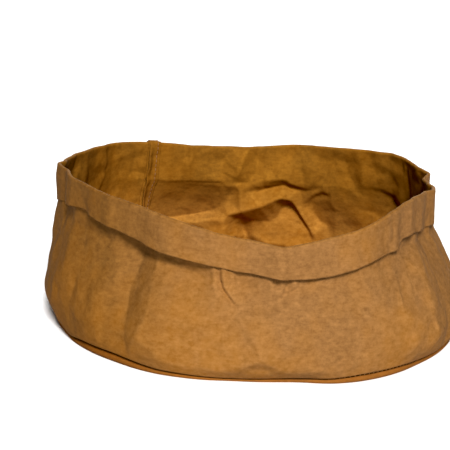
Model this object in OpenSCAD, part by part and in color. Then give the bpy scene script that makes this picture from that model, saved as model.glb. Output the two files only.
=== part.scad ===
/* [Sheet] */
// Thickness of one ply of the washable paper sheet
sheet_t = 0.8; // [0.6:0.1:1.2]
// Width of the seam allowances
allowance = 8; // [6:1:10]

/* [Base] */
// Radius of the round base, over the rolled lip of its seam
base_r = 184.5; // [180:0.5:186]
// Height of the rolled lip, where the base curves up to the wall
lip_h = 7.4; // [6:0.2:9]

/* [Wall] */
// Radius of the belly, the widest ring of the wall
belly_r = 190; // [188:0.5:196]
// Height of the belly above the floor
belly_z = 30; // [24:1:38]
// Depth of the stiff upright band below the rim
band_h = 44; // [40:1:50]

/* [Cuff] */
// Depth of the cuff that is turned down outside
cuff_h = 31; // [26:1:36]
// Radius of the rounded fold along the rim
fold_r = 1.6; // [1.4:0.1:2.2]
// How far the cuff stands off from the rim at its raw edge
cuff_flare = 3; // [2:0.5:3]

/* [Threads] */
// Diameter of the sewing thread
thread_d = 0.6; // [0.4:0.1:0.8]

/* [Hidden] */

// The rim, round the bag from +X: azimuth, radius and height. It is a little
// squashed from front to back, dips at the front and has a pleat beside +X.
RIM = [
    [0, 158, 131],
    [10, 154, 131],
    [20, 166, 131],
    [42, 171, 135],
    [68, 169, 130],
    [90, 161, 125],
    [106, 161, 124],
    [130, 178, 129],
    [160, 181, 133],
    [183, 183, 137],
    [192, 174, 138],
    [224, 173, 137],
    [244, 173, 131],
    [260, 174, 122],
    [278, 169, 114],
    [300, 171, 128],
    [320, 158, 139],
    [338, 152, 138],
    [352, 154, 133],
    [360, 158, 131]
];

// The side seam: its raw edges, and the two plies of allowance beside them
seam_azimuth = 129;
seam_span = allowance / 178 * 180 / PI;
ply_step = 0.2;

// The base seam: allowances lie flat inside, stitched where the lip begins
lip_r = lip_h / 2;
seam_r = base_r - lip_r;
allowance_r = seam_r - allowance;
stitch_r = seam_r - 1.5;
contact_gap = 0.05;
wall_foot_z = lip_h + contact_gap + sheet_t / 2;

columns = 72;
thread_sides = 8;
fold_steps = 4;
belly_steps = 2;
flank_steps = 4;

function rim_r(a) = lookup(a, [for (p = RIM) [p[0], p[1]]]);
function rim_z(a) = lookup(a, [for (p = RIM) [p[0], p[2]]]);

// Middle line of the sheet at one azimuth, as [radius, height]: from the
// allowance inside the base seam, out and up the wall, over the rim and down
// to the raw edge of the cuff.
function foot_line() = [[allowance_r, wall_foot_z], [base_r - 1, wall_foot_z]];
function belly_line() = [
    for (i = [1:belly_steps])
        let (t = i / belly_steps, rise = belly_z - wall_foot_z)
            [
                base_r + (belly_r - sheet_t / 2 - base_r) * sin(90 * t),
                wall_foot_z + rise * t
            ]
];
function flank_line(a) = let (
    top_r = rim_r(a) - fold_r + 1,
    top_z = rim_z(a) - band_h
) [
    for (i = [1:flank_steps])
        let (t = i / flank_steps)
            [
                top_r + (belly_r - sheet_t / 2 - top_r) * cos(90 * t),
                belly_z + (top_z - belly_z) * t
            ]
];
function fold_line(a) = [
    for (i = [0:fold_steps])
        let (turn = 180 - 180 * i / fold_steps)
            [
                rim_r(a) + fold_r * cos(turn),
                rim_z(a) - sheet_t / 2 - fold_r + fold_r * sin(turn)
            ]
];
function cuff_line(a) = [
    for (t = [0.5, 1])
        [rim_r(a) + fold_r + cuff_flare * t, rim_z(a) - cuff_h * t]
];
function sheet_line(a) = concat(
    foot_line(), belly_line(), flank_line(a), fold_line(a), cuff_line(a)
);

// Unit normals of a line, pointing to its left: inside the bag on the wall,
// and outside the bag on the cuff
function unit(v) = v / norm(v);
function normals(line) = [
    for (i = [0:len(line) - 1])
        let (
            last = len(line) - 1,
            ahead = line[min(i + 1, last)],
            behind = line[max(i - 1, 0)],
            along = unit(ahead - behind)
        )
            [-along[1], along[0]]
];
function shifted(line, d) = let (n = normals(line)) [
    for (i = [0:len(line) - 1]) line[i] + n[i] * d
];
function reversed(list) = [for (i = [len(list) - 1:-1:0]) list[i]];
function around(p, a) = [p[0] * cos(a), p[0] * sin(a), p[1]];

// The side seam has two more plies on the inner face
function in_seam(a) = a > seam_azimuth - seam_span && a < seam_azimuth + ply_step / 2;
function inner_depth(a) = sheet_t / 2 + (in_seam(a) ? 2 * sheet_t : 0);

// Closed outline of the sheet's thickness at one azimuth
function sheet_ring(a) = let (line = sheet_line(a)) [
    for (p = concat(shifted(line, inner_depth(a)), reversed(shifted(line, -sheet_t / 2))))
        around(p, a)
];

// Azimuths of the columns, with a close pair at each edge of the side seam
function column_run(low, high) = [
    for (i = [0:columns - 1])
        let (a = i * 360 / columns)
            if (a >= low && a < high) a
];
function azimuths() = let (start = seam_azimuth - seam_span) concat(
    column_run(0, start - ply_step),
    [start, start + ply_step],
    column_run(start + 2 * ply_step, seam_azimuth - ply_step),
    [seam_azimuth, seam_azimuth + ply_step],
    column_run(seam_azimuth + 2 * ply_step, 360)
);

// Triangles between neighbouring rings of n points each
function ring_faces(rings, n, closed) = [
    for (i = [0:rings - (closed ? 1 : 2)], j = [0:n - 1])
        let (
            k = (i + 1) % rings,
            m = (j + 1) % n,
            a = i * n + j,
            b = i * n + m,
            c = k * n + m,
            d = k * n + j
        )
            each [[a, b, c], [a, c, d]]
];

module wall_panel() {
    rings = [for (a = azimuths()) sheet_ring(a)];
    color("#ae7a40")
        polyhedron(
            points = [for (ring = rings) each ring],
            faces = ring_faces(len(rings), len(rings[0]), true),
            convexity = 6
        );
}

module base_section() {
    square([seam_r, sheet_t]);
    translate([allowance_r, lip_h - sheet_t])
        square([allowance, sheet_t]);
    translate([seam_r, lip_r])
        intersection() {
            difference() {
                circle(lip_r, $fn = 64);
                circle(lip_r - sheet_t, $fn = 64);
            }
            translate([0, -lip_r])
                square([lip_r, lip_h]);
        }
}

module base_panel() {
    color("#a66c2c")
        rotate_extrude($fn = 180)
            base_section();
}

// Thread along one face of the side seam, up the wall and down the cuff
function seam_path(depth) = let (
    stitch_azimuth = seam_azimuth - seam_span + 2 * ply_step,
    line = shifted(sheet_line(stitch_azimuth), depth)
) [
    for (i = [2:len(line) - 1]) around(line[i], stitch_azimuth)
];

module seam_thread(path) {
    last = len(path) - 1;
    rings = [
        for (i = [0:last])
            let (
                along = unit(path[min(i + 1, last)] - path[max(i - 1, 0)]),
                across = unit(cross(along, [sin(seam_azimuth), -cos(seam_azimuth), 0])),
                side = cross(along, across)
            )
                [
                    for (j = [0:thread_sides - 1])
                        let (turn = 360 * j / thread_sides)
                            path[i] + thread_d / 2 * (across * cos(turn) + side * sin(turn))
                ]
    ];
    sides = [for (f = ring_faces(last + 1, thread_sides, false)) reversed(f)];
    start_cap = [for (j = [0:thread_sides - 1]) j];
    end_cap = [for (j = [thread_sides - 1:-1:0]) last * thread_sides + j];
    polyhedron(
        points = [for (ring = rings) each ring],
        faces = concat(sides, [start_cap, end_cap]),
        convexity = 4
    );
}

module side_seam_needle_thread() {
    color("#cfae95")
        seam_thread(seam_path(sheet_t * 2.5 + thread_d / 2 + contact_gap));
}

module side_seam_bobbin_thread() {
    color("#b9926c")
        seam_thread(seam_path(-sheet_t / 2 - thread_d / 2 - contact_gap));
}

module thread_hoop(z) {
    rotate_extrude($fn = 180)
        translate([stitch_r, z])
            circle(d = thread_d, $fn = 16);
}

module base_seam_needle_thread() {
    color("#8a5a2b")
        thread_hoop(wall_foot_z + sheet_t / 2 + thread_d / 2 + contact_gap);
}

module base_seam_bobbin_thread() {
    color("#8a5a2b")
        thread_hoop(lip_h - sheet_t - thread_d / 2 - contact_gap);
}

wall_panel();
base_panel();
side_seam_needle_thread();
side_seam_bobbin_thread();
base_seam_needle_thread();
base_seam_bobbin_thread();
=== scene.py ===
"""A low, wide, round planter bag of washable kraft paper, with its top turned down as a cuff.

Lengths are in millimetres until a mesh is made, and angles are degrees of azimuth, from +X
towards +Y. The wall is one sheet: its rows run from the seam allowance at the base, up the wall,
over the rim and down the cuff, and its columns run round the bag.
"""
import math

import bpy
import numpy as np
from mathutils import Matrix, Vector, geometry


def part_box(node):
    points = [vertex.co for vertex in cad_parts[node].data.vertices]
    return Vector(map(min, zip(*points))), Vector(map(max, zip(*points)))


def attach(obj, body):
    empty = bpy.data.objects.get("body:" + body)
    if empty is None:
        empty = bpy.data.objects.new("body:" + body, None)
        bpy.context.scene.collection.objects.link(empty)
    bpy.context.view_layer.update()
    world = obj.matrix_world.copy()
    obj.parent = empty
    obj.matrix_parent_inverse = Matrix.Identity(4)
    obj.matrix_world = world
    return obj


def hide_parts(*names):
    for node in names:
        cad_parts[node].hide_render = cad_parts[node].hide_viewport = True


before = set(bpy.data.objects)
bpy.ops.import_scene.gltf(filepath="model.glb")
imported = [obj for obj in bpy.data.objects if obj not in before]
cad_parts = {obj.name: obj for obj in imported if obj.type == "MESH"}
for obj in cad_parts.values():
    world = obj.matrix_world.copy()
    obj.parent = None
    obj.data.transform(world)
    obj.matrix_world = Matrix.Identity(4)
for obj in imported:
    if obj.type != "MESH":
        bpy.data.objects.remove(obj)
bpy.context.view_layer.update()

MM = 0.001
BODY = "root"

# ---------------------------------------------------------------- sizes from the frame
wall_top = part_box("wall_panel")[1]
base_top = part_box("base_panel")[1]
BELLY_R = wall_top.x / MM
TOP_Z = wall_top.z / MM
BASE_R = base_top.x / MM

# ---------------------------------------------------------------- the sheet
SHEET_T = 0.8
CUFF_GAP = 0.5
ALLOWANCE = 8
BELLY_Z = 30
BAND_H = 40
FOLD_R = 1.5
COLUMNS = 720
WALL_ROWS = 92
FOLD_ROWS = 7
CUFF_ROWS = 22
FLANGE_ROWS = 6
BASE_ROWS = 16

# The rim's fold: azimuth, inset from the belly ring, drop below the highest point. Most rows are
# the photo's rim line, read off through the fitted camera by a helper and rounded.
RIM = (
    (0, 32.5, 8), (12, 35.5, 8), (20, 24, 8), (26, 26.5, 7), (33, 21.5, 5.5), (39, 18.5, 4.5),
    (43, 16.5, 4.2), (48, 19.5, 5.2), (54, 22, 6.2), (66, 22, 8.7), (73, 21.5, 10),
    (80, 19.5, 11.8), (85, 24, 12.8), (90, 28.5, 13.8), (97, 30.5, 14.6), (107, 27.5, 14.6),
    (116, 25, 13.2), (122, 19.5, 11.6), (127, 14, 10.6), (131, 11, 10), (136, 7, 9.2),
    (142, 3.5, 8.5), (151, 7, 7.2), (158, 10, 6.2), (166, 10.4, 5), (174, 9.6, 3.7),
    (178, 8.6, 3), (182, 8, 2), (185, 10.2, 1.8), (188, 13, 1.4), (194, 16.2, 1),
    (204, 15.5, 1.4), (213, 17.5, 1.7), (225, 17.5, 2.4), (229, 20, 3.5),
    (234, 22, 4.9), (240, 20.5, 6.8), (247, 19, 9.6), (256, 17.5, 14.6),
    (260, 15.5, 17), (264, 18.5, 19), (268, 21, 20.6), (273, 19, 22.6), (277.6, 16.8, 24.8),
    (282, 16.5, 22.6), (286, 15.6, 20), (294, 17.5, 15), (301, 18, 10.4), (308, 22, 6.5),
    (315, 28, 3), (323, 34.5, 0), (330, 38.4, 0.5), (345, 39.6, 3.5), (353, 35.5, 6.2),
)
# The cuff: azimuth, how far its raw edge stands out from the rim, depth. The depths in front follow
# the photo's cuff line, read off in the same way and then adjusted.
CUFF = (
    (0, 3, 32), (30, 5, 32), (90, 5, 31), (150, 5, 32), (178, 0.6, 34), (184, 0.6, 33), (190, 1, 30),
    (199, 2, 26), (209, 2, 22), (219, 3, 25), (228, 3, 26.5), (236, 4, 28), (243, 6, 29.5),
    (251, 5, 28.5), (260, 4, 27), (268, 4.5, 26.5), (278, 4, 26), (283, 4, 29),
    (290, 5, 31.5), (305, 5, 31),
    (316.5, 5, 34.5), (320, 4, 29), (328, 4, 29.5), (336, 3.5, 32), (340, 3, 33), (348, 2, 32),
)
# The base: azimuth, how far the lip stands out from the base circle, height of the seam. Most rows
# follow the photo's lip and seam, read off in the same way.
LIP = (
    (0, 0, 7), (180, -1, 7), (195, -2, 7), (206, -1.4, 6), (213, 1, 5), (218, 2, 7.5),
    (222, 3, 8.7), (233, 3.4, 9), (240, 4.6, 7.4), (246, 4, 5), (251, 2, 4.4), (258, -1, 3.4),
    (265, -6, 2.8), (279, -8, 4), (284, -7, 4.5), (291, 0.5, 5), (298, 3, 7), (304, 3, 7.6),
    (312, 1.5, 7.5), (322, -2, 6), (334, -2, 5), (342, -1, 7.5),
)
# The kink below the band: azimuth, how far it stands out from the inside of the rim
WAIST = (
    (0, 4), (12, 6), (20, 5), (35, 9), (56, 8), (72, 4), (90, 2), (108, 3), (124, 5), (134, 3),
    (145, 4), (160, 6), (176, 4), (190, 3.6), (212, 1), (224, -2.5), (240, -4), (254, -3),
    (264, 1), (282, 3), (300, 2.5), (318, 2), (330, 3), (348, 2.5),
)
# How far the belly stands out from the CAD belly, and the wall's foot out and in from the lip
BELLY_OUT = 1.0
SEAM_OUT = 1.5
SEAM_IN = 5.0
# How round the foot is, and how late the flank leans in, as powers of the height
FOOT_CURVE = 0.8
FLANK_CURVE = 1.35
# The open groove over the lip: its share of the seam's height, and its limits
GROOVE_SHARE = 0.22
GROOVE_LIMITS = (0.5, 1.5)
# Random facets: seed, width, height and depth of one size of facet
WALL_CRUMPLES = (
    (11, 46, 60, 1.8), (12, 24, 24, 2.1), (13, 11, 11, 0.95), (14, 18, 90, 0.6),
    (15, 5.5, 5.5, 0.18),
)
CUFF_CRUMPLES = ((21, 34, 60, 0.9), (22, 13, 15, 0.5), (23, 5.5, 5.5, 0.10))
# The stretch of height, or of depth below the rim, that facets are laid over
WALL_SPAN = (0, 140)
CUFF_SPAN = (0, 36)
# Creases die out over a spacing of flat points that keep a reach away from them
WALL_REST = (24, 16)
CUFF_REST = (18, 12)


def around(table, column, azimuth, softness=1.0):
    """Values from a table of azimuths, joined by straight runs and softened over some degrees."""
    keys = [row[0] for row in table]
    values = [row[column] for row in table]
    spread = np.linspace(-2, 2, 9)
    weights = np.exp(-spread ** 2)
    total = sum(
        weight * np.interp(azimuth + step * softness, keys, values, period=360)
        for step, weight in zip(spread, weights)
    )
    return total / weights.sum()


# ---------------------------------------------------------------- creases
# Each line is one crease or ridge of the wall, placed to match the photo: azimuth, height, depth
# pushed inward. A negative depth is a ridge that stands out.
PUSHED_IN_BACK = (
    # the upper edge of the push-in, and the shadowed line under it
    ((99.4, 87.6, 2), (94, 88, 3.5), (90, 90, 4.5), (87, 92, 6.5), (83, 93.5, 8), (80.5, 92.5, 8),
     (79, 89, 7), (77, 87, 6), (74.5, 85, 4), (71, 83.5, 2)),
    ((97, 79, 8), (94, 78, 6.5), (90.6, 78, 2), (88, 80.6, -1.5), (84.7, 83.6, -1.5),
     (81.6, 85.6, -1), (79.8, 83, 0), (77, 82, 1), (74.5, 81, 1.5)),
    # the ridge of the shelf, falling to the left
    ((121, 41, 1), (113.5, 42.5, 7), (108, 46, 12), (101.5, 52.5, 18), (96.6, 58, 22),
     (89.5, 65.6, 20), (85, 71, 17), (82.3, 74, 14.5), (80.4, 72, 12), (78.6, 68, 10),
     (76.4, 58, 10), (74, 46.6, 10), (72, 36, 9), (70.4, 16, 3)),
    # the back of the shelf, where it meets the hollow
    ((124, 44, -3), (114, 45, -4), (109.3, 47.4, -4), (106, 51, -2), (103.4, 57, 3),
     (101, 67, 5), (99.6, 78, 3)),
    # the folds that hang from the shelf
    ((107, 38, 15), (106, 26, 18), (105, 12, 5)),
    ((102.6, 46, 21), (102, 36, 23), (101.6, 24, 23), (101, 12, 6)),
    ((99, 49, 16), (97.8, 40, 15), (96.6, 28, 14), (96, 12, 4)),
    ((95.8, 46, 9.6), (94.8, 38, 6), (93.6, 25, 6)),
    ((91.6, 45, 11), (88.6, 45, 11), (85.6, 45, 11)),
    ((91, 28, 14), (90, 12, 4)),
    ((82, 61, 1), (83.6, 50, 8), (86, 34, 15), (86.6, 22, 15), (87, 10, 4)),
    ((79.4, 65, 0), (77.2, 56, 2), (74.8, 44, 4), (73, 34, 6), (72.4, 22, 5)),
    ((80.4, 48, 7), (80, 34, 12), (80, 20, 12)),
    # the dark hollow left of the shelf, and the crisp crease over it
    ((126, 70, -2), (116, 66, -3), (107, 66, -3)),
    ((124, 90.5, 0.8), (118, 89.6, 1.2), (111, 89.4, 1.6), (104, 90, 2), (99.6, 91, 3)),
    ((124, 87.4, -1), (118, 86.6, -1.4), (111, 86.4, -1.2), (105, 87, -0.4)),
    # a small crease beside it
    ((75.4, 66.5, 4), (73.5, 73.5, 4.5), (70.8, 80, 4.5), (68, 84, 4.5), (65, 82.5, 4)),
    ((74.6, 63, 2), (73, 70, 0), (70.6, 77, 0), (68.4, 80.5, 0.5), (66.6, 79, 2)),
    ((72.4, 56, -1), (70.4, 46, -1.5)),
    ((69, 73, 2), (68.6, 62, 0.6), (68.2, 45, -0.6), (67.6, 31, 0), (67, 15, 0)),
    ((65, 76, 4.4), (64, 62, 3.6), (64.6, 45, 2), (65, 30, 2)),
)
BACK_BAND = (
    ((115.5, 124, 2), (115, 112, 2.4), (117.4, 104, 1.5), (119, 98, 0.5)),
    ((117.5, 124, -0.6), (117.2, 113, -0.8), (119.5, 106, -0.5)),
    ((95, 123, 3), (97, 112, 7.5), (98, 103, 8.5), (98.6, 96, 6.5)),
    ((101, 123, -1.5), (103.4, 110, -2.5), (105, 99, -1.4)),
    ((91, 124, -0.5), (91.6, 112, -1), (91.6, 100, 0.5)),
    ((111, 120, 1), (111.5, 105, 1.5), (110, 94, 1)),
    ((88, 120, 0), (87, 105, 1), (86, 99, 3)),
    ((66, 124, 1.6), (65, 110, 2.4), (64, 98, 2)),
    ((61.4, 128, -0.5), (60.4, 116, -1.6), (59.2, 104, -2), (57.6, 96, -1)),
    ((53.8, 120, 1.4), (53, 110, 2.4), (53.4, 98, 2)),
    ((47.6, 124, 1.6), (47.4, 112, 0), (48, 99, 0)),
    ((60, 90, 2), (60.5, 75, 3), (61, 60, 2)),
    ((56, 92, 1), (56.6, 75, 1.6), (57, 60, 0.6)),
    ((51.4, 98, 0), (48, 97, 0.5), (44.6, 95, 2), (40, 88, 3)),
    ((51, 93, -1), (47, 91, -1.6), (43, 86, -1.6)),
    ((43, 128, 0.6), (43, 118, 2), (42.6, 104, 2)),
    ((35.8, 130, 0), (35.8, 118, 0.6), (35.6, 104, 0.4), (35.4, 95, 0)),
    ((34.6, 130, -0.6), (34.6, 118, -1.6), (34.2, 104, -1.6), (34.2, 94, -1)),
    ((33, 130, 0), (32.8, 118, 0), (32.6, 104, 0), (32.4, 94, 0)),
    ((26.6, 126, 0), (26.6, 116, -1.6), (27, 104, -1.6)),
    ((142, 93.5, 1.5), (136, 92, -1.6), (132, 91, -2.4)),
    ((148, 86, 3), (141, 80, 1), (135, 76, -1.6), (132, 75, -2.4)),
    ((133, 122, -0.6), (133, 112, -2.6), (133, 98, -4.6)),
    ((143, 124, 0), (143, 112, 2), (143, 98, 2)),
    ((158, 122, 0.6), (160, 106, 2.6), (160, 90, 2.4)),
)
FRONT_AND_SIDES = (
    # the corner where the lit front turns to the left side
    ((241.2, 104, -2), (241.4, 90, -4), (241.8, 76, -5.4), (242.4, 64, -5.6), (242.8, 53, -5.2),
     (242.4, 43, -4.6), (241, 32, -3), (238.6, 17, -1)),
    ((234.6, 98, 5), (233.4, 76, 7.5), (232.8, 60, 8.4), (234.8, 42, 6), (236.4, 28, 3),
     (237.2, 15, 1)),
    # folds that spread from below the cuff on the left
    ((203, 104, 0), (203, 90, -1), (206, 68, -1.2), (207, 54, -0.8)),
    ((209, 98, 1), (211, 84, 2), (213.6, 70, 2.2), (213.6, 52, 2.4), (212.6, 34, 2)),
    ((191, 100, 1), (190, 88, 1.6), (196, 62, 1.4)),
    ((217, 96, 1.6), (220, 76, 2), (223.6, 66, 1.8)),
    ((217.4, 56, 0.4), (220.6, 62, 0.4), (226, 56, 0)),
    ((222, 46, -1), (226.6, 30, -2), (227.4, 16, -1)),
    ((217, 34, -0.6), (219, 20, -0.6)),
    ((228.5, 86, 2.6), (228.6, 72, 3.4), (229, 58, 3)),
    ((230.8, 84, 6), (230.8, 72, 6.6)),
    # the thin dark fold left of the middle
    ((259.3, 96, -1), (259.3, 84, -1), (260.3, 76, -1), (262, 70, -0.8), (263.4, 64.6, -0.4)),
    ((260.1, 97, 5), (260.2, 84, 5.4), (261.2, 76.6, 5.4), (263, 70.6, 4.6), (264.4, 65.8, 3.6),
     (265.8, 61, 2)),
    ((261.1, 96, -1.5), (261.2, 85, -2), (262.2, 77.6, -2), (264, 71.6, -1.6), (265.6, 67, -1)),
    ((262.4, 93, 1), (262.8, 86, 1), (263.4, 79, 0.8)),
    ((263.4, 92, -1), (263.8, 85, -1.2), (264.6, 76, -0.8)),
    ((264.6, 93, 1.8), (265, 85, 1.8), (265.8, 76, 1.2)),
    # the pressed pocket right of it, over a lit sideways crease
    ((268, 74, 1.6), (270, 66, 2.6), (273.4, 65, 3), (277.4, 70, 2.8), (280, 76, 1.8)),
    ((265.6, 57, 0), (267.6, 57.4, -1.2), (271.3, 57, -2), (275.4, 58.6, -2), (278.6, 63.6, -1.6),
     (281.2, 69, -0.8)),
    # the crease that runs down to a peak, and the facet below it
    ((265.4, 56, 0.6), (267, 47, 1.6), (268.4, 38, 2), (270.4, 30, 1.4)),
    ((267.4, 54, -0.6), (269.6, 45, -1.2), (271.6, 36, -1.4)),
    ((250, 32, 2), (257, 29, 2), (263, 26, 1), (268, 25.4, 0), (272.7, 24.6, -2.6)),
    ((272.7, 24.6, -2.6), (279, 26.4, 0), (285, 30, 1.6), (294, 31, 2)),
    ((272.7, 24.6, -2.6), (268, 17.6, -2.4), (263.4, 11.4, -3)),
    ((272.7, 24.6, -2.6), (276.4, 18, -2.4), (280, 12.4, -3)),
    ((250, 13, -2), (258, 12, -3), (263.4, 11.4, -3)),
    ((263.4, 11.4, -3), (268, 9.6, -2), (272.4, 9, -1), (276, 9.6, -2), (280, 12.4, -3)),
    ((280, 12.4, -3), (288, 13, -3), (294, 13.6, -2)),
    ((271.2, 14.6, 1), (274, 14.6, 1)),
    # the ruffle squeezed up below the cuff's lowest place
    ((274, 90, -1.6), (274.6, 83, -1.6)),
    ((275.8, 90, 1.6), (276.2, 82, 1.6)),
    ((277.2, 90, -1.8), (277.6, 81, -1.6)),
    ((278.8, 91, 2.6), (278.6, 76, 3), (276.6, 69, 1.6)),
    ((280.6, 90, -1.8), (281, 81, -1.6)),
    ((282.2, 90, 1.6), (282.6, 82, 1)),
    # the corner where the front turns to the right side
    ((331, 98, 0), (328.6, 86, -0.6), (326.6, 74, -1.2), (324.8, 57, -1.6), (324.4, 44, -1.8),
     (324.8, 30, -1.6), (325, 12, -0.8)),
    ((338, 88, 1.2), (337, 74, 1.8), (336, 57, 2), (335.6, 42, 1.8), (335, 25, 1.2)),
    ((320, 84, 0.8), (319, 66, 1.2), (319, 50, 0.8)),
    ((316.4, 40, 1.2), (320, 38, 1.4), (324.6, 36, 1)),
    ((312.6, 34, 0.8), (315.4, 27, -0.8), (320, 20, -0.8)),
    ((314, 46, 0), (319, 50, 0.8), (322, 58, 1.4)),
    ((308, 96, 1), (309, 86, 1.6), (312, 72, 1.4), (313, 58, 0.6)),
    ((303, 92, -0.8), (304, 74, -1), (306, 56, -0.8)),
    ((318, 96, 1), (317.6, 84, 1.8), (320, 70, 2)),
    ((296, 88, 0), (297, 66, 0.8), (295, 44, 0.8)),
)
# The same on the cuff, with the depth below the rim in place of the height
ON_THE_CUFF = (
    ((206, 0, 0), (209, 12, 0.6), (211.4, 22, 1.4), (212, 30, 1.6)),
    ((213.4, 14, -0.6), (215, 26, -0.8)),
    ((186, 4, -0.8), (186.6, 30, -0.8)),
    ((192, 3, 0.8), (193, 28, 1)),
    ((246, 4, -0.5), (246.6, 26, -0.7)),
    ((260, 2, 0), (260.6, 28, 0.6)),
    ((277, 6, -1), (277.6, 28, -1)),
    ((281, 5, 0.5), (281, 29, 0.8)),
    ((291, 8, 0.5), (290, 28, 0.9)),
    ((306, 6, 0), (307, 30, -0.4)),
    ((311.6, 0, 0), (311.8, 16, 0.8), (311.8, 34, 1)),
    ((314, 0, -0.4), (314.4, 16, -1), (314, 34, -1.2)),
    ((318.6, 2, 0.4), (318.8, 16, 1), (318.6, 34, 1.4)),
    ((323, 4, -0.4), (323.6, 16, -0.8), (323, 32, -0.8)),
    ((327.4, 6, 0.4), (328, 26, 0.8)),
    ((334, 6, -0.6), (334.4, 28, -0.9)),
    ((343, 4, 0.6), (343.4, 28, 0.7)),
    ((40, 2, 0), (41, 30, 1.2)),
    ((64, 3, -0.8), (62, 29, -0.8)),
    ((98, 4, 0.8), (96, 28, 1.2)),
    ((112, 3, -0.6), (114, 28, -0.8)),
    ((150, 4, 0.8), (148, 28, 0.9)),
)
WALL_CREASES = PUSHED_IN_BACK + BACK_BAND + FRONT_AND_SIDES
MEAN_R = 178
GIRTH = 2 * math.pi * MEAN_R
MM_PER_DEGREE = GIRTH / 360


def facets(points, values, x, y, edges=()):
    """Flat facets over scattered points, read at a grid whose x depends on the column only."""
    verts, _, faces, origins, _, _ = geometry.delaunay_2d_cdt(
        [Vector(point) for point in points], list(edges), [], 0, 1e-5
    )
    height = np.array([values[origin[0]] if origin else 0.0 for origin in origins])
    place = np.array([tuple(vert) for vert in verts])
    out = np.zeros(np.broadcast_shapes(x.shape, y.shape))
    columns = x[0]
    for face in faces:
        corner = place[list(face)]
        low, high = np.searchsorted(columns, (corner[:, 0].min(), corner[:, 0].max()))
        low, high = max(low - 1, 0), min(high + 1, len(columns))
        if high <= low:
            continue
        (ax, ay), (bx, by), (cx, cy) = corner
        area = (bx - ax) * (cy - ay) - (cx - ax) * (by - ay)
        if abs(area) < 1e-9:
            continue
        px, py = x[:, low:high], y[:, low:high]
        u = ((px - ax) * (cy - ay) - (cx - ax) * (py - ay)) / area
        v = ((bx - ax) * (py - ay) - (px - ax) * (by - ay)) / area
        inside = (u >= -1e-6) & (v >= -1e-6) & (u + v <= 1 + 1e-6)
        a, b, c = height[list(face)]
        out[:, low:high][inside] = (a + (b - a) * u + (c - a) * v)[inside]
    return out


def crumple(seed, cell_w, cell_h, depth, x, y, low, high):
    """Random flat facets of one size, as on a sheet that was crushed and smoothed out again."""
    rng = np.random.default_rng(seed)
    across = max(3, round(GIRTH / cell_w))
    up = max(2, math.ceil((high - low) / cell_h) + 2)
    points, values = [], []
    for i in range(across):
        for j in range(up):
            px = (i + rng.uniform(-0.45, 0.45) + 0.5 * (j % 2)) * GIRTH / across
            py = low - cell_h / 2 + (j + rng.uniform(-0.4, 0.4)) * cell_h
            value = rng.uniform(-1, 1) * depth
            for turn in (-1, 0, 1):
                if -2 * cell_w < px + turn * GIRTH < GIRTH + 2 * cell_w:
                    points.append((px + turn * GIRTH, py))
                    values.append(value)
    return facets(points, values, x, y)


def creased(lines, x, y, low, high, spacing, reach):
    """Facets through the listed creases, at rest further from them than the reach."""
    points, values, edges, ends = [], [], [], []
    for line in lines:
        for turn in (-1, 0, 1):
            start = len(points)
            if not -40 < line[0][0] + 360 * turn < 400:
                continue
            for angle, height, depth in line:
                points.append(((angle + 360 * turn) * MM_PER_DEGREE, height))
                values.append(depth)
            edges += [(start + k, start + k + 1) for k in range(len(line) - 1)]
            ends += [points[start + k:start + k + 2] for k in range(len(line) - 1)]
    first = np.array([pair[0] for pair in ends])
    along = np.array([pair[1] for pair in ends]) - first
    for px in np.arange(-3 * spacing, GIRTH + 3 * spacing, spacing):
        for py in np.arange(low, high + spacing, spacing):
            step = (px, py) - first
            share = np.clip((step * along).sum(1) / (along ** 2).sum(1), 0, 1)[:, None]
            if np.linalg.norm(step - share * along, axis=1).min() > reach:
                points.append((px, py))
                values.append(0.0)
    return facets(points, values, x, y, edges)


def softened(field, times):
    """The field with its creases rounded by one grid step each time."""
    for _ in range(times):
        field = (np.roll(field, 1, 1) + 2 * field + np.roll(field, -1, 1)) / 4
        inner = (field[:-2] + 2 * field[1:-1] + field[2:]) / 4
        field = np.concatenate([field[:1], inner, field[-1:]])
    return field


def sharpness(field):
    """How sharply the sheet is bent at each grid point, from 0 to 1."""
    bend = np.zeros_like(field)
    bend[1:-1] = np.abs(field[:-2] - 2 * field[1:-1] + field[2:])
    bend += np.abs(np.roll(field, 1, 1) - 2 * field + np.roll(field, -1, 1))
    return np.clip(bend / 0.5, 0, 1)


# ---------------------------------------------------------------- the wall sheet
azimuth = np.arange(COLUMNS) * 360 / COLUMNS
rim_r = BELLY_R - around(RIM, 1, azimuth)
rim_z = TOP_Z - around(RIM, 2, azimuth)
cuff_out = around(CUFF, 1, azimuth, 2)
cuff_h = around(CUFF, 2, azimuth, 0.8)
lip_r = BASE_R + around(LIP, 1, azimuth, 3)
seam_z = around(LIP, 2, azimuth, 2)
groove = np.clip(GROOVE_SHARE * seam_z, *GROOVE_LIMITS)


def wall_surface():
    """Radius and height grids of the wall from seam to rim, before any crease."""
    t = np.linspace(0, 1, WALL_ROWS)[:, None]
    low_z = seam_z + SHEET_T
    high_z = rim_z - FOLD_R
    z = low_z + (high_z - low_z) * t
    kink_z = rim_z - BAND_H
    kink_r = rim_r - FOLD_R + around(WAIST, 1, azimuth, 3)
    belly = BELLY_R + BELLY_OUT
    seam_r = lip_r + SEAM_OUT
    foot = np.clip((z - low_z) / (BELLY_Z - low_z), 0, 1)
    flank = np.clip((z - BELLY_Z) / (kink_z - BELLY_Z), 0, 1)
    band = np.clip((z - kink_z) / (high_z - kink_z), 0, 1)
    r = np.where(
        z < BELLY_Z,
        seam_r + (belly - seam_r) * np.sin(math.pi / 2 * foot ** FOOT_CURVE),
        np.where(
            z < kink_z,
            kink_r + (belly - kink_r) * (1 - flank ** FLANK_CURVE),
            kink_r + (rim_r - FOLD_R - kink_r) * band,
        ),
    )
    return r, z


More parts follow.
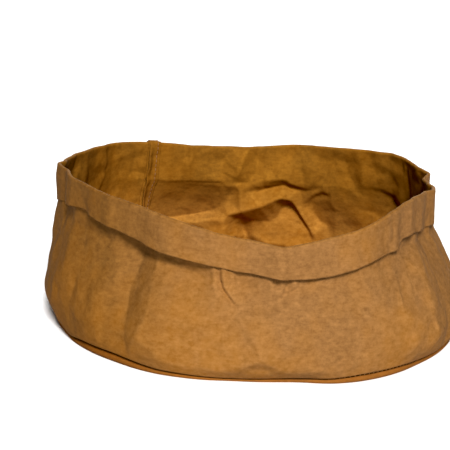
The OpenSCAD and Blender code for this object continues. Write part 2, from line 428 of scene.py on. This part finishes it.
def flange_surface():
    """The wall's allowance, turned in over the base's, and the short step out over the groove."""
    r = np.stack([lip_r - SEAM_IN - ALLOWANCE * (1 - t) for t in np.linspace(0, 1, FLANGE_ROWS)]
                 + [lip_r - SEAM_IN / 2, lip_r + SEAM_OUT - 1])
    z = np.stack([seam_z + SHEET_T / 2] * (FLANGE_ROWS + 1) + [seam_z + SHEET_T / 2 + 0.1])
    return r, z


def fold_surface(push):
    turn = np.linspace(math.pi, 0, FOLD_ROWS + 2)[1:-1, None]
    return rim_r + push + FOLD_R * np.cos(turn), rim_z - FOLD_R + FOLD_R * np.sin(turn)


def cuff_surface(push, wall_r, wall_z):
    """The cuff, creased on its own and held just clear of the wall behind it."""
    t = np.linspace(0, 1, CUFF_ROWS)[:, None]
    drop = FOLD_R + (cuff_h - FOLD_R) * t
    x = np.broadcast_to(azimuth * MM_PER_DEGREE, drop.shape)
    own = sum(crumple(*layer, x, drop, *CUFF_SPAN) for layer in CUFF_CRUMPLES)
    own = own + creased(ON_THE_CUFF, x, drop, *CUFF_SPAN, *CUFF_REST)
    own = softened(own, 1) * np.clip(4 * t, 0, 1)
    r = rim_r + push + FOLD_R + (cuff_out - FOLD_R) * t - own
    z = rim_z - drop
    behind = [np.interp(z[:, c], wall_z[:, c], wall_r[:, c]) for c in range(COLUMNS)]
    return np.maximum(r, np.stack(behind, axis=1) + SHEET_T + CUFF_GAP), z, own


def build_sheet():
    """The whole wall sheet as a grid of points, and how sharply it is creased at each."""
    r, z = wall_surface()
    x = np.broadcast_to(azimuth * MM_PER_DEGREE, r.shape)
    inward = sum(crumple(*layer, x, z, *WALL_SPAN) for layer in WALL_CRUMPLES)
    inward = inward + creased(WALL_CREASES, x, z, *WALL_SPAN, *WALL_REST)
    hold = np.clip((z - seam_z) / 10, 0.1, 1)
    inward = softened(inward * hold, 1)
    r = r - inward
    push = -inward[-1]
    fold_r, fold_z = fold_surface(push)
    cuff_r, cuff_z, own = cuff_surface(push, r, z)
    flange_r, flange_z = flange_surface()
    rr = np.concatenate([flange_r, r, fold_r, cuff_r])
    zz = np.concatenate([flange_z, z, fold_z, cuff_z])
    wear = np.concatenate([0 * flange_r, sharpness(inward), 0.5 + 0 * fold_r, sharpness(own)])
    a = np.radians(azimuth)
    return np.stack([rr * np.cos(a), rr * np.sin(a), zz], axis=-1), wear


def sheet_normals(grid):
    """Unit normals of a grid that is closed round the bag, all to the same side of the sheet."""
    up = np.gradient(grid, axis=0)
    sideways = np.roll(grid, -1, 1) - np.roll(grid, 1, 1)
    normal = np.cross(up, sideways)
    return normal / np.linalg.norm(normal, axis=-1, keepdims=True)


# ---------------------------------------------------------------- meshes
def grid_mesh(name, grids, wear, centre=False):
    """A smooth-shaded mesh over grids of points; the first is closed round the bag.

    A centre closes the hole inside the first grid's first row.
    """
    points, quads = [], []
    start = 0
    for number, grid in enumerate(grids):
        rows, columns = grid.shape[:2]
        index = start + np.arange(rows * columns).reshape(rows, columns)
        if number == 0:
            index = np.concatenate([index, index[:, :1]], axis=1)
        corners = [index[:-1, :-1], index[:-1, 1:], index[1:, 1:], index[1:, :-1]]
        quads += np.stack(corners, -1).reshape(-1, 4).tolist()
        points += (grid.reshape(-1, 3) * MM).tolist()
        start += rows * columns
    if centre:
        points.append((0, 0, points[0][2]))
        quads += [((column + 1) % COLUMNS, column, start) for column in range(COLUMNS)]
    mesh = bpy.data.meshes.new(name)
    mesh.from_pydata(points, [], quads)
    layer = mesh.attributes.new("wear", "FLOAT", "POINT")
    values = np.concatenate([wear.ravel(), np.zeros(len(points) - wear.size)])
    layer.data.foreach_set("value", values)
    mesh.shade_smooth()
    piece = bpy.data.objects.new(name, mesh)
    bpy.context.scene.collection.objects.link(piece)
    return piece


def thicken(piece, thickness):
    """Gives a sheet its thickness, with crisp raw edges."""
    solid = piece.modifiers.new("thickness", "SOLIDIFY")
    solid.thickness = thickness * MM
    solid.offset = 0
    bpy.context.view_layer.objects.active = piece
    with bpy.context.temp_override(object=piece, active_object=piece, selected_objects=[piece]):
        bpy.ops.object.modifier_apply(modifier=solid.name)


def below_rim(grid):
    """1 on the rows of a sheet from its foot to the rim, and 0 on the cuff."""
    rows_left = len(grid) - np.arange(len(grid))
    shares = np.clip((rows_left - CUFF_ROWS) / FOLD_ROWS, 0, 1)
    return np.repeat(shares, grid.shape[1])


def mark_inside(piece, parts):
    """Marks the bag's inner face with 1, where the paper's colour gets painted light and shade."""
    count = len(piece.data.vertices)
    place = np.empty(3 * count)
    piece.data.vertices.foreach_get("co", place)
    place = place.reshape(2, -1, 3)
    reach = np.hypot(place[..., 0], place[..., 1]) - place[..., 2]
    marks = np.zeros((2, count // 2))
    start = 0
    for shares in parts:
        end = start + len(shares)
        inner = int((reach[1, start:end] < reach[0, start:end])[shares > 0].mean() > 0.5)
        marks[inner, start:end] = shares
        start = end
    layer = piece.data.attributes.new("inside", "FLOAT", "POINT")
    layer.data.foreach_set("value", marks.ravel())


def base_grid():
    """The base sheet: flat on the floor, up round the lip, and in again under the seam."""
    half = SHEET_T / 2
    top = seam_z - half
    crest = seam_z - half - groove
    round_r = (crest - half) / 2
    middle = lip_r - half - round_r
    rows_r = [middle * share for share in np.linspace(0, 1, BASE_ROWS + 1)[1:]]
    rows_z = [np.full(COLUMNS, half)] * BASE_ROWS
    for turn in np.radians(np.linspace(-90, 90, 11)[1:]):
        rows_r.append(middle + round_r * math.cos(turn))
        rows_z.append(half + round_r * (1 + math.sin(turn)))
    inner = lip_r - SEAM_IN
    for share in (0.35, 0.7, 1):
        rows_r.append(middle + (inner - middle) * share)
        rows_z.append(crest + (top - crest) * share)
    for share in (0.3, 0.65, 1):
        rows_r.append(inner - ALLOWANCE * share)
        rows_z.append(top)
    rr, zz = np.stack(rows_r), np.stack(rows_z)
    a = np.radians(azimuth)
    return np.stack([rr * np.cos(a), rr * np.sin(a), zz], axis=-1)


def on_sheet(grid, normals, row, angle, lift):
    """Points at rows and azimuths of the sheet, lifted off its inner face."""
    column = angle / 360 * COLUMNS
    low = np.floor(column).astype(int)
    share = (column - low)[..., None]
    low = low % COLUMNS
    high = (low + 1) % COLUMNS
    point = grid[row, low] * (1 - share) + grid[row, high] * share
    normal = normals[row, low] * (1 - share) + normals[row, high] * share
    return point + normal * np.asarray(lift)[..., None]


def stitch_tubes(name, stitches, radius, sides=7):
    """One mesh of short rounded tubes, each laid along its own few points."""
    points, faces = [], []
    for path in stitches:
        path = np.asarray(path)
        count = len(path)
        tangent = np.gradient(path, axis=0)
        tangent /= np.linalg.norm(tangent, axis=1, keepdims=True)
        side = np.cross(tangent, (0.3, 0.2, 1.0))
        side /= np.linalg.norm(side, axis=1, keepdims=True)
        over = np.cross(tangent, side)
        share = np.linspace(-1, 1, count)
        girth = radius * np.sqrt(np.clip(1.08 - share ** 4, 0.08, 1))
        start = len(points)
        for k in range(count):
            for turn in np.linspace(0, 2 * math.pi, sides, endpoint=False):
                ring = math.cos(turn) * side[k] + math.sin(turn) * over[k]
                points.append((path[k] + girth[k] * ring) * MM)
        for k in range(count - 1):
            for s in range(sides):
                a, b = start + k * sides + s, start + k * sides + (s + 1) % sides
                faces.append((a, b, b + sides, a + sides))
        faces.append(tuple(range(start + sides - 1, start - 1, -1)))
        faces.append(tuple(range(start + (count - 1) * sides, start + count * sides)))
    mesh = bpy.data.meshes.new(name)
    mesh.from_pydata([tuple(point) for point in points], [], faces)
    mesh.shade_smooth()
    piece = bpy.data.objects.new(name, mesh)
    bpy.context.scene.collection.objects.link(piece)
    return piece


# ---------------------------------------------------------------- seams
# The side seam's place, width and sideways jog, in degrees, and the rows that it jogs between
SEAM_AZIMUTH = 126.2
SEAM_WIDTH = 2.5
SEAM_JOG = 0.4
SEAM_JOG_ROWS = (66, 69)
STITCH_AZIMUTH = 0.25
# One ply with its clearance, and the most plies of lift where the rim presses them together
SEAM_PLY = SHEET_T + 0.08
PRESSED_LIFT = 2.1
# Rows over which the upper ply's free edge opens below the rim
OPENING_ROWS = 8
# Times that the normals are evened out along the seam, so that it crosses creases smoothly
NORMAL_PASSES = 8
# The allowances' cross sections: shares of the seam's width, and lifts in plies
UNDER_PLY = ((0.12, 0.25, 0.5, 0.75, 1.0, 1.25), (1, 1, 1, 1, 1, 1))
OVER_PLY = (
    (-0.32, -0.2, -0.08, 0.04, 0.25, 0.5, 0.7, 0.9, 1.1),
    (1, 1, 1, 2.1, 2.1, 2.1, 3.6, 5.4, 7),
)
STITCH_PITCH = 4.5
STITCH_LENGTH = 3.4
THREAD_R = 0.28
LADDER_R = 0.3
# How far the base seam's stitches lie in from the lip
HOOP_IN = SEAM_IN + 2
# How far the crossing threads reach past the groove's top and bottom, and lean along the seam
LADDER_OVER = 0.2
LADDER_UNDER = 0.3
LADDER_LEAN = 0.5
# How deep they lie in the groove: azimuths, and depths
LADDER_IN = ((285, 300, 345, 360), (2.2, 0.8, 0.8, 2.2))


def seam_azimuth(rows):
    """The seam line, which jogs at the wall's inner crease."""
    return SEAM_AZIMUTH + SEAM_JOG * np.interp(rows, SEAM_JOG_ROWS, (1, 0))


def seam_strips(grid, normals):
    """The side seam's two allowances, on the sheet's inner face from the base to the cuff's edge.

    The upper one's free edge stands up below the rim, and is pressed down over it.
    """
    rows = np.arange(FLANGE_ROWS + 3, len(grid))[:, None]
    fold_row = len(grid) - CUFF_ROWS - FOLD_ROWS
    even = normals
    for _ in range(NORMAL_PASSES):
        inner = (even[:-2] + 2 * even[1:-1] + even[2:]) / 4
        even = np.concatenate([even[:1], inner, even[-1:]])
    even = even / np.linalg.norm(even, axis=-1, keepdims=True)
    strips = []
    for shares, lifts in (UNDER_PLY, OVER_PLY):
        share = np.broadcast_to(np.array(shares), (len(rows), len(shares)))
        row = np.broadcast_to(rows, share.shape)
        loose = np.clip((fold_row - row) / OPENING_ROWS, 0, 1)
        flat = np.minimum(lifts, PRESSED_LIFT)
        lift = SEAM_PLY * (flat + (np.array(lifts) - flat) * loose)
        strips.append(on_sheet(grid, even, row, seam_azimuth(row) + SEAM_WIDTH * share, lift))
    return strips


def side_stitches(grid, normals, lift):
    """Stitches up the side seam, from the base to the cuff's raw edge."""
    first = FLANGE_ROWS + 4
    rows = np.arange(first, len(grid) - 1)
    angle = seam_azimuth(rows) + STITCH_AZIMUTH
    line = on_sheet(grid, normals, rows, angle, np.full(len(rows), lift))
    reach = np.concatenate([[0], np.cumsum(np.linalg.norm(np.diff(line, axis=0), axis=1))])
    stitches = []
    for start in np.arange(1, reach[-1] - STITCH_PITCH, STITCH_PITCH):
        places = np.linspace(start, start + STITCH_LENGTH, 6)
        stitches.append(np.stack([np.interp(places, reach, line[:, k]) for k in range(3)], -1))
    return stitches


def hoop_stitches(radius_in, height):
    """Stitches round the base seam, at a distance in from the lip and a height over the seam."""
    count = round(2 * math.pi * (BASE_R - radius_in) / STITCH_PITCH)
    stitches = []
    for number in range(count):
        angle = (number + np.linspace(0, STITCH_LENGTH / STITCH_PITCH, 5)) * 360 / count
        r = np.interp(angle, azimuth, lip_r, period=360) - radius_in
        z = np.interp(angle, azimuth, seam_z, period=360) + height
        a = np.radians(angle)
        stitches.append(np.stack([r * np.cos(a), r * np.sin(a), z], -1))
    return stitches


def ladder_stitches():
    """The threads that cross the open groove between wall and lip."""
    count = round(2 * math.pi * BASE_R / STITCH_PITCH)
    stitches = []
    for number in range(count):
        angle = (number + 0.5) * 360 / count
        a = math.radians(angle)
        r = np.interp(angle, azimuth, lip_r, period=360) - np.interp(angle, *LADDER_IN, period=360)
        top = np.interp(angle, azimuth, seam_z, period=360) + LADDER_OVER
        low = top - np.interp(angle, azimuth, groove, period=360) - LADDER_UNDER
        lean = np.linspace(-LADDER_LEAN, LADDER_LEAN, 5)[:, None]
        lean = lean * (-math.sin(a), math.cos(a), 0)
        path = np.stack([np.full(5, r * math.cos(a)), np.full(5, r * math.sin(a)),
                         np.linspace(low, top, 5)], -1)
        stitches.append(path + lean)
    return stitches


# ---------------------------------------------------------------- materials
class Nodes:
    """A material's node tree, with short calls to add and join nodes."""

    def __init__(self, name):
        self.material = bpy.data.materials.new(name)
        self.material.use_nodes = True
        self.tree = self.material.node_tree
        self.shader = self.tree.nodes["Principled BSDF"]

    def add(self, kind, **settings):
        node = self.tree.nodes.new(kind)
        for key, value in settings.items():
            if key in node.inputs:
                node.inputs[key].default_value = value
            else:
                setattr(node, key, value)
        return node

    def join(self, source, target):
        self.tree.links.new(source, target)

    def noise(self, place, stretch, scale, detail=2.0, roughness=0.5):
        mapping = self.add("ShaderNodeMapping")
        mapping.inputs["Scale"].default_value = stretch
        self.join(place, mapping.inputs["Vector"])
        noise = self.add("ShaderNodeTexNoise", Scale=scale, Detail=detail, Roughness=roughness)
        self.join(mapping.outputs["Vector"], noise.inputs["Vector"])
        return noise.outputs["Fac"]

    def ramp(self, value, low, high):
        """A value stretched from low..high to 0..1."""
        node = self.add("ShaderNodeMapRange")
        node.inputs["From Min"].default_value = low
        node.inputs["From Max"].default_value = high
        self.join(value, node.inputs["Value"])
        return node.outputs["Result"]

    def math(self, operation, first, second):
        node = self.add("ShaderNodeMath", operation=operation)
        for socket, value in zip(node.inputs, (first, second)):
            if isinstance(value, (int, float)):
                socket.default_value = value
            else:
                self.join(value, socket)
        return node.outputs["Value"]

    def mix(self, share, first, second, blend="MIX"):
        node = self.add("ShaderNodeMix", data_type="RGBA", blend_type=blend)
        for socket, value in zip((node.inputs[0], node.inputs[6], node.inputs[7]),
                                 (share, first, second)):
            if isinstance(value, (int, float)):
                socket.default_value = value
            elif isinstance(value, tuple):
                socket.default_value = (*value, 1)
            else:
                self.join(value, socket)
        return node.outputs[2]


def paper_material(name, orange, brown, pale):
    """Washable kraft paper: matt, mottled, with a fine crossed grain and paler worn creases."""
    nodes = Nodes(name)
    place = nodes.add("ShaderNodeTexCoord").outputs["Object"]
    patches = nodes.noise(place, (1, 1, 0.6), 14, 3, 0.6)
    blots = nodes.noise(place, (1, 1, 1), 55, 4, 0.65)
    mottle = nodes.noise(place, (1, 1, 1.3), 190, 4, 0.7)
    across = nodes.noise(place, (1, 1, 4), 130, 4, 0.7)
    speck = nodes.noise(place, (1, 1, 1), 500, 2, 0.6)
    wear = nodes.add("ShaderNodeAttribute", attribute_name="wear").outputs["Fac"]
    position = nodes.add("ShaderNodeSeparateXYZ")
    nodes.join(place, position.inputs["Vector"])

    # orange at the foot and browner above, in patches
    browner = nodes.ramp(position.outputs["Z"], *BROWNER_BETWEEN)
    browner = nodes.math("ADD", nodes.math("MULTIPLY", browner, 0.5),
                         nodes.ramp(patches, 0.4, 0.62))
    browner = nodes.math("SUBTRACT", browner, 0.25)
    browner.node.use_clamp = True
    colour = nodes.mix(browner, orange, brown)
    blot_share = nodes.math("MULTIPLY", nodes.ramp(blots, 0.35, 0.7), BLOT_SHARE)
    colour = nodes.mix(blot_share, colour, tuple(BLOT_DARKNESS * c for c in brown))
    grain = nodes.math("ADD", nodes.math("MULTIPLY", nodes.ramp(mottle, 0.32, 0.68), 0.55),
                       nodes.math("MULTIPLY", nodes.ramp(across, 0.3, 0.7), 0.3))
    grain = nodes.math("ADD", grain, nodes.math("MULTIPLY", nodes.ramp(speck, 0.3, 0.7), 0.15))
    colour = nodes.mix(nodes.math("MULTIPLY", grain, GRAIN_SHARE), colour, pale)
    worn = nodes.math("MULTIPLY", nodes.math("MULTIPLY", wear, grain), WEAR_SHARE)
    colour = nodes.mix(worn, colour, pale)
    inside = nodes.add("ShaderNodeAttribute", attribute_name="inside").outputs["Fac"]
    # corrections for the photo's light: the inside by height, then the outside's two ends
    tint_share = nodes.ramp(position.outputs["Z"], *INSIDE_BETWEEN)
    tint = nodes.mix(tint_share, INSIDE_LOW, INSIDE_HIGH)
    colour = nodes.mix(inside, colour, nodes.mix(1.0, colour, tint, "MULTIPLY"))
    from_middle = nodes.math("SUBTRACT", position.outputs["X"], LIT_MIDDLE)
    from_middle = nodes.math("ABSOLUTE", from_middle, 0)
    at_ends = nodes.math("MULTIPLY", nodes.ramp(from_middle, *ENDS_BETWEEN),
                         nodes.math("SUBTRACT", 1, inside))
    colour = nodes.mix(at_ends, colour, nodes.mix(1.0, colour, OUTSIDE_ENDS, "MULTIPLY"))
    nodes.join(colour, nodes.shader.inputs["Base Color"])

    rough = nodes.math("ADD", nodes.math("MULTIPLY", grain, 0.1), 0.82)
    nodes.join(rough, nodes.shader.inputs["Roughness"])
    nodes.shader.inputs["Specular IOR Level"].default_value = 0.12

    crinkle = nodes.noise(place, (1, 1, 1), 150, 4, 0.65)
    relief = nodes.math("ADD", nodes.math("MULTIPLY", crinkle, 0.8),
                        nodes.math("MULTIPLY", grain, 0.25))
    bump = nodes.add("ShaderNodeBump", Strength=0.5, Distance=0.0006)
    nodes.join(relief, bump.inputs["Height"])
    nodes.join(bump.outputs["Normal"], nodes.shader.inputs["Normal"])
    return nodes.material


def thread_material(name, dark, light):
    """Spun polyester thread: two plies twisted, a little glossy."""
    nodes = Nodes(name)
    place = nodes.add("ShaderNodeTexCoord").outputs["Object"]
    plies = nodes.add("ShaderNodeTexWave", Scale=900, Distortion=1.5, bands_direction="DIAGONAL")
    nodes.join(place, plies.inputs["Vector"])
    colour = nodes.mix(plies.outputs["Fac"], dark, light)
    nodes.join(colour, nodes.shader.inputs["Base Color"])
    nodes.shader.inputs["Roughness"].default_value = 0.55
    bump = nodes.add("ShaderNodeBump", Strength=0.4, Distance=0.0001)
    nodes.join(plies.outputs["Fac"], bump.inputs["Height"])
    nodes.join(bump.outputs["Normal"], nodes.shader.inputs["Normal"])
    return nodes.material


WALL_PAPER = ((0.210, 0.089, 0.010), (0.158, 0.076, 0.024), (0.35, 0.188, 0.070))
BASE_PAPER = ((0.200, 0.079, 0.012), (0.162, 0.064, 0.011), (0.29, 0.13, 0.032))
# Heights, in metres, over which the paper turns from orange to brown
BROWNER_BETWEEN = (0.0, 0.09)
# How much the blots, the grain and the worn creases show, and how dark a blot is
BLOT_SHARE = 0.3
BLOT_DARKNESS = 0.66
GRAIN_SHARE = 0.62
WEAR_SHARE = 0.45
# Tints that make up for the light, to match the photo. They are not the paper's own colour.
# Inside: near the base and near the rim, and the heights between, in metres
INSIDE_LOW = (1.25, 1.18, 0.7)
INSIDE_HIGH = (0.95, 0.86, 0.33)
INSIDE_BETWEEN = (0.05, 0.09)
# Outside: the left and right ends, and the distances in metres from the middle of the lit front
OUTSIDE_ENDS = (0.84, 0.78, 0.52)
LIT_MIDDLE = 0.05
ENDS_BETWEEN = (0.09, 0.18)


# ---------------------------------------------------------------- pieces
def finish_piece(piece, material, node):
    piece.data.materials.append(material)
    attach(piece, BODY)
    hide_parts(node)


sheet, sheet_wear = build_sheet()
inward_normals = sheet_normals(sheet)
if (inward_normals[FLANGE_ROWS + 20, 0] * sheet[FLANGE_ROWS + 20, 0])[:2].sum() > 0:
    inward_normals = -inward_normals

strips = seam_strips(sheet, inward_normals)
wall = grid_mesh("wall_sheet", [sheet] + strips, sheet_wear)
thicken(wall, SHEET_T)
mark_inside(wall, [below_rim(sheet)] + [below_rim(strip) for strip in strips])
finish_piece(wall, paper_material("washable_paper", *WALL_PAPER), "wall_panel")

base_points = base_grid()
base = grid_mesh("base_sheet", [base_points], np.zeros(base_points.shape[:2]), centre=True)
thicken(base, SHEET_T)
mark_inside(base, [np.ones(len(base.data.vertices) // 2)])
finish_piece(base, paper_material("washable_paper_base", *BASE_PAPER), "base_panel")

pale_thread = thread_material("thread_pale", (0.22, 0.11, 0.06), (0.34, 0.19, 0.12))
brown_thread = thread_material("thread_tan", (0.30, 0.15, 0.05), (0.50, 0.28, 0.11))
side_needle = stitch_tubes(
    "side_seam_needle_stitches",
    side_stitches(sheet, inward_normals, 2 * SEAM_PLY + SHEET_T / 2 + THREAD_R), THREAD_R)
finish_piece(side_needle, pale_thread, "side_seam_needle_thread")
side_bobbin = stitch_tubes(
    "side_seam_bobbin_stitches",
    side_stitches(sheet, inward_normals, -SHEET_T / 2 - THREAD_R), THREAD_R)
finish_piece(side_bobbin, pale_thread, "side_seam_bobbin_thread")
base_needle = stitch_tubes(
    "base_seam_needle_stitches",
    hoop_stitches(HOOP_IN, SHEET_T + THREAD_R), THREAD_R)
finish_piece(base_needle, brown_thread, "base_seam_needle_thread")
base_bobbin = stitch_tubes(
    "base_seam_bobbin_stitches",
    hoop_stitches(HOOP_IN, -SHEET_T - THREAD_R) + ladder_stitches(), LADDER_R)
finish_piece(base_bobbin, brown_thread, "base_seam_bobbin_thread")


# ---------------------------------------------------------------- stage
def make_floor():
    bpy.ops.mesh.primitive_plane_add(size=8, location=(0, 0, 0))
    floor = bpy.context.object
    floor.name = "studio_floor"
    nodes = Nodes("studio_white")
    nodes.shader.inputs["Base Color"].default_value = (0.9, 0.9, 0.9, 1)
    nodes.shader.inputs["Roughness"].default_value = 0.9
    floor.data.materials.append(nodes.material)


def make_sun(name, strength, spread, elevation, turn):
    """A soft sun, turned round the bag from the camera's side."""
    data = bpy.data.lights.new(name, "SUN")
    data.energy = strength
    data.angle = math.radians(spread)
    lamp = bpy.data.objects.new(name, data)
    bpy.context.scene.collection.objects.link(lamp)
    lamp.rotation_euler = (math.radians(90 - elevation), 0, math.radians(turn))


def make_world():
    world = bpy.data.worlds.new("studio")
    bpy.context.scene.world = world
    world.use_nodes = True
    background = world.node_tree.nodes["Background"]
    background.inputs["Color"].default_value = (1, 1, 1, 1)
    background.inputs["Strength"].default_value = WORLD_LIGHT


WORLD_LIGHT = 0.05
# Each sun: strength, spread, elevation, and turn to the camera's right
SUNS = {"key": (5.1, 16, 37, 8), "front": (0.3, 30, 8, 6), "back": (2.4, 40, 18, 180)}
# The camera was fitted by a helper to the bag's base line and left side in the photo
CAMERA_DISTANCE = 1.5
CAMERA_ELEVATION = 18
CAMERA_AIM = Vector((-0.030, 0, 0.085))
CAMERA_ROLL = 2.77
CAMERA_LENS = 129.26


def make_camera():
    data = bpy.data.cameras.new("camera")
    data.lens = CAMERA_LENS
    data.sensor_width = 36
    camera = bpy.data.objects.new("camera", data)
    bpy.context.scene.collection.objects.link(camera)
    tilt = math.radians(CAMERA_ELEVATION)
    camera.location = (0, -CAMERA_DISTANCE * math.cos(tilt), CAMERA_DISTANCE * math.sin(tilt))
    look = (CAMERA_AIM - camera.location).to_track_quat("-Z", "Y").to_matrix().to_4x4()
    roll = Matrix.Rotation(math.radians(CAMERA_ROLL), 4, "Z")
    camera.matrix_world = Matrix.Translation(camera.location) @ look @ roll
    bpy.context.scene.camera = camera


make_floor()
make_world()
for sun, setting in SUNS.items():
    make_sun(sun, *setting)
make_camera()
view = bpy.context.scene.view_settings
view.view_transform = "Standard"
view.exposure = 0.18
view.gamma = 0.85
view.use_curve_mapping = True
view.curve_mapping.black_level = (0.006, 0.006, 0.006)
view.curve_mapping.update()
